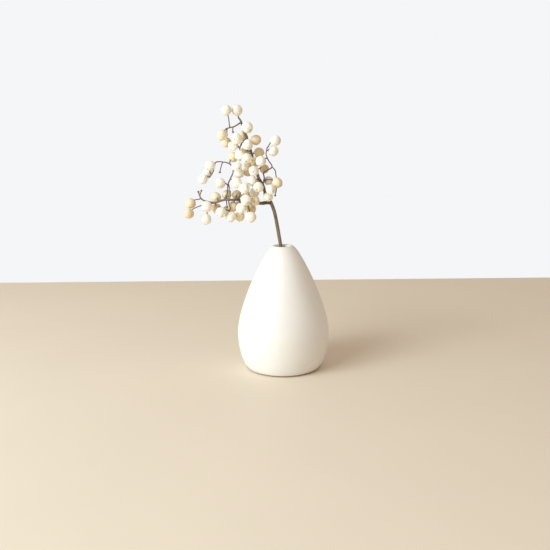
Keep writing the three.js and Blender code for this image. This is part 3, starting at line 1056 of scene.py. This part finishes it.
# A fruit's skin about its own axis: a sphere whose radius is changed by broad lobes, dents, fine creases, a
# dimple round the stalk, and a small nib in a shallow moat at the far pole. Tip tells how near a point is
# to either pole.
def fruitGrid(centre, radius, axis, index):
    look = fruitLook
    helper = np.eye(3)[np.argmin(np.abs(axis))]
    side = unit(np.cross(axis, helper))
    up = np.cross(axis, side)
    polar = np.linspace(look["poleGap"], math.pi - look["poleGap"], look["rings"])[:, None]
    angle = np.linspace(0, 2 * math.pi, look["sides"], endpoint=False)[None, :]
    far = math.pi - polar
    a, b, c, d = (scatter(index, k) * 2 * math.pi for k in range(4))
    dent = look["dents"] * (scatter(index, 5) + look["leastDent"])
    size = 1 + look["lobes"] * np.cos(3 * angle + a) * np.sin(polar) ** 2
    size = size + dent * np.sin(2 * angle + b) * np.sin(2 * polar + c)
    size = size + look["creases"] * np.sin(9 * angle + c + 2 * polar) * np.sin(7 * polar + d)
    size = size - look["stalkDimple"] * bell(polar, look["dimpleWidth"])
    size = size + look["tipNib"] * bell(far, look["nibWidth"])
    size = size - look["nibMoat"] * bell(far - look["moatPlace"], look["moatWidth"])
    size = size * radius
    longer = 1.0 + look["longest"] * scatter(index, 7)
    out = np.cos(angle)[..., None] * side + np.sin(angle)[..., None] * up
    grid = centre + (size * np.sin(polar))[..., None] * out
    grid = grid + (size * np.cos(polar) * longer)[..., None] * axis
    (stalkBrown, stalkWidth), (tipBrown, tipWidth) = look["stalkBrown"], look["tipBrown"]
    near = bell(polar, stalkWidth) * stalkBrown + bell(far, tipWidth) * tipBrown
    tip = np.broadcast_to(near, size.shape).reshape(-1)
    stalkPole = centre + axis * radius * longer * (1 - look["stalkDimple"])
    farPole = centre - axis * radius * longer * (1 + look["tipNib"])
    return (grid, stalkPole, farPole), np.concatenate([tip, look["poleBrown"]])


# A fruit on its stalk. The stalk is a cubic curve from the twig's wood to the fruit's upper pole, which
# faces the stalk's root and turns a little upwards.
def makeFruit(index, centre, radius, onPath, start, leaving, slotName, nodes, tone):
    look = fruitLook
    reach = np.linalg.norm(start - centre) - radius
    bend = max(look["leastBend"], reach * look["stalkBend"])
    axis = unit(unit(start - centre) + np.array([0, 0, look["poleLift"]]))
    entry = centre + axis * (radius + bend)
    inFruit = centre + axis * radius * look["stalkDepth"]
    stalk = bezier([start, start + leaving * bend, entry, inFruit], look["stalkSteps"])
    thick, thin = (sprig["stalkRadius"] * look[k] for k in ("stalkThick", "stalkThin"))
    rod = rodGrid([onPath, *stalk], thick, thin, index * look["stalkSalt"], look["stalkFlare"], smooth=True)
    shape, tip = fruitGrid(centre, radius, axis, index)
    skins = [skinOf(shape, 0, tip=tip, tone=tone), skinOf(rod, 1)]
    # tan_berry fruits take the darker skin, which paints the shade they sit in
    material = paleSkin if slotName == "pale_berry" else shadedTanSkin
    makePiece(f"berry{index:02d}", skins, [material, thinBark], "sprig", nodes)


slotOf = {part["node"]: part["material_slot"] for part in frame["record"]["subparts"]}
fruitNodes = sorted(name for name in frame["nodes"] if name.startswith("berry_"))
placedFruits = []
for i, node in enumerate(fruitNodes):
    points = nodePoints(node)
    centre, radius = fitSphere(points)
    root = stalkRoot(stalkEnd(points, centre))
    makeFruit(i + 1, centre, radius, *root, slotOf[node], [node], scatter(i + 1, 9))
    placedFruits.append((*centre, radius))
print("fruits made:", len(fruitNodes))


# Fruits behind the twigs, half hidden by the others, have no nodes of their own. Each twig says which
# stretch of it carries them, in millimetres from its start, and how far they turn from straight back:
# upright twigs to their sides, level ones up or down.
backLook = {
    "stretches": {
        "main_stem": {"start": 13.0, "end": 50.0, "turns": (55.0, -40.0)},
        "left_branch": {"start": 10.0, "end": 42.0, "turns": (-65.0, -30.0, 25.0)},
    },
    "step": 2.5,
    "reach": 7.0,
    "radius": 3.3,
    "clear": 0.3,
    # a deep tone that paints the shade these fruits sit in
    "tone": 0.9,
}


# Places behind a twig: points at even steps along it, moved by the reach in each of its directions by turns.
def placesBehind(name, stretch):
    path, _ = twigLine(name)
    length = np.linalg.norm(np.diff(path, axis=0), axis=1).sum()
    along = np.arange(stretch["start"], stretch["end"], backLook["step"])
    onPath = path[np.round(along / length * (len(path) - 1)).astype(int)]
    turn = np.radians(np.resize(stretch["turns"], len(along)))
    travel = np.abs(path[-1] - path[0])
    across = np.array([1.0, 0, 0]) if travel[2] > travel[0] else np.array([0, 0, 1.0])
    leaving = np.cos(turn)[:, None] * np.array([0, 1.0, 0]) + np.sin(turn)[:, None] * across
    return onPath, leaving, onPath + leaving * backLook["reach"]


# A place is free when its distance to each fruit, less both radii, and to each twig, less its radius, is
# enough.
def isFree(centre):
    others = np.array(placedFruits)
    toFruits = np.linalg.norm(others[:, :3] - centre, axis=1) - others[:, 3]
    toWood = np.linalg.norm(wood - centre, axis=1) - sprig["branchRadius"]
    return min(toFruits.min(), toWood.min()) > backLook["radius"] + backLook["clear"]


for name, stretch in backLook["stretches"].items():
    for onPath, leaving, centre in zip(*placesBehind(name, stretch)):
        if isFree(centre):
            placedFruits.append((*centre, backLook["radius"]))
            start = onPath + leaving * (sprig["branchRadius"] + sprig["gap"])
            root = (onPath, start, leaving)
            makeFruit(len(placedFruits), centre, backLook["radius"], *root, "tan_berry", [], backLook["tone"])
print("fruits behind the twigs:", len(placedFruits) - len(fruitNodes))


stageLook = {
    "floorColour": (0.83, 0.74, 0.61),
    "backColour": (0.915, 0.92, 0.93),
    "ambientColour": (1.0, 0.85, 0.71),
    "ambient": 0.54,
    "floorLeft": -1.4,
    "floorRight": 1.4,
    "floorFront": -1.6,
    "floorBack": 0.295,
    "thickness": 0.03,
    "patchScale": 7.0,
    "patchContrast": 1.5,
    "patchShade": 0.94,
    "roughness": 0.6,
}


# The floor: a pale slab whose top is at height 0.
def makeFloor():
    look = stageLook
    x0, x1, y0, y1 = (look[k] for k in ("floorLeft", "floorRight", "floorFront", "floorBack"))
    outline = [(x0, y0), (x1, y0), (x1, y1), (x0, y1)]
    corners = [(x, y, z) for z in (-look["thickness"], 0.0) for x, y in outline]
    faces = [(3, 2, 1, 0), (4, 5, 6, 7), (0, 1, 5, 4), (1, 2, 6, 5), (2, 3, 7, 6), (3, 0, 4, 7)]
    mesh = bpy.data.meshes.new("floor")
    mesh.from_pydata(corners, [], faces)
    floor = bpy.data.objects.new("floor", mesh)
    bpy.context.scene.collection.objects.link(floor)
    material, tree, shader, place = startMaterial("paleFloor")
    patches = useGroup(tree, mottle, place, Scale=look["patchScale"], Contrast=look["patchContrast"])
    deeper = tuple(c * look["patchShade"] for c in look["floorColour"])
    tree.links.new(mixColours(tree, patches, look["floorColour"], deeper), shader.inputs["Base Color"])
    shader.inputs["Roughness"].default_value = look["roughness"]
    mesh.materials.append(material)


# The surroundings: pale where the camera looks past the floor, and a dimmer, warmer light everywhere else.
def makeWorld():
    look = stageLook
    world = bpy.data.worlds.new("softRoom")
    bpy.context.scene.world = world
    world.use_nodes = True
    tree = world.node_tree
    seen = tree.nodes["Background"]
    seen.inputs["Color"].default_value = (*look["backColour"], 1.0)
    light = tree.nodes.new("ShaderNodeBackground")
    light.inputs["Color"].default_value = (*look["ambientColour"], 1.0)
    light.inputs["Strength"].default_value = look["ambient"]
    rays = tree.nodes.new("ShaderNodeLightPath")
    either = tree.nodes.new("ShaderNodeMixShader")
    tree.links.new(rays.outputs["Is Camera Ray"], either.inputs[0])
    tree.links.new(light.outputs[0], either.inputs[1])
    tree.links.new(seen.outputs[0], either.inputs[2])
    tree.links.new(either.outputs[0], tree.nodes["World Output"].inputs["Surface"])


# A square soft lamp that faces the given point.
def makeLamp(name, place, target, size, power, colour):
    lamp = bpy.data.lights.new(name, "AREA")
    lamp.shape = "SQUARE"
    lamp.size = size
    lamp.energy = power
    lamp.color = colour
    holder = bpy.data.objects.new(name, lamp)
    bpy.context.scene.collection.objects.link(holder)
    back = unit(np.array(place, float) - np.array(target, float))
    side = unit(np.cross((0, 0, 1), back))
    turn = Matrix(np.column_stack([side, np.cross(back, side), back]).tolist()).to_4x4()
    holder.matrix_world = Matrix.Translation(place) @ turn


makeFloor()
makeWorld()

# Each lamp: how far it is turned from the front towards the left, its rise, its power and its colour. All
# stand at one distance from the point that they aim at, and have one size.
lamps = {
    "windowLight": {"turn": 49, "rise": 24, "power": 10.6, "colour": (0.85, 0.955, 1.0)},
    "sideLight": {"turn": 66, "rise": 25, "power": 4.0, "colour": (0.86, 0.955, 1.0)},
    "wallLight": {"turn": -125, "rise": 25, "power": 0.4, "colour": (0.94, 0.97, 1.0)},
}
lampLook = {"aim": (0, 0, 0.08), "away": 1.15, "size": 0.7}


# Lamps on a sphere about the middle of the vase: each from its turn and its rise.
def placeLamps():
    middle = np.array(lampLook["aim"])
    for name, lamp in lamps.items():
        turn, rise = math.radians(lamp["turn"]), math.radians(lamp["rise"])
        way = np.array([-math.sin(turn) * math.cos(rise), -math.cos(turn) * math.cos(rise), math.sin(rise)])
        place = tuple((middle + way * lampLook["away"]).tolist())
        makeLamp(name, place, tuple(middle), lampLook["size"], lamp["power"], lamp["colour"])


placeLamps()

view = {
    "place": (-0.0056, -0.490, 0.170),
    "pitch": -11.8,
    "roll": -0.55,
    "lens": 45.82,
    "sensor": 36.0,
    "nearest": 0.01,
}


# The camera looks along +Y, tipped down by the pitch and rolled about its own line of sight.
def makeCamera():
    camera = bpy.data.cameras.new("camera")
    camera.lens = view["lens"]
    camera.sensor_width = view["sensor"]
    camera.clip_start = view["nearest"]
    holder = bpy.data.objects.new("camera", camera)
    bpy.context.scene.collection.objects.link(holder)
    tilt = Matrix.Rotation(math.radians(90 + view["pitch"]), 4, "X")
    roll = Matrix.Rotation(math.radians(view["roll"]), 4, "Z")
    holder.matrix_world = Matrix.Translation(view["place"]) @ tilt @ roll
    bpy.context.scene.camera = holder


makeCamera()
bpy.context.scene.view_settings.view_transform = "Standard"
print("stage, lights and camera ready")
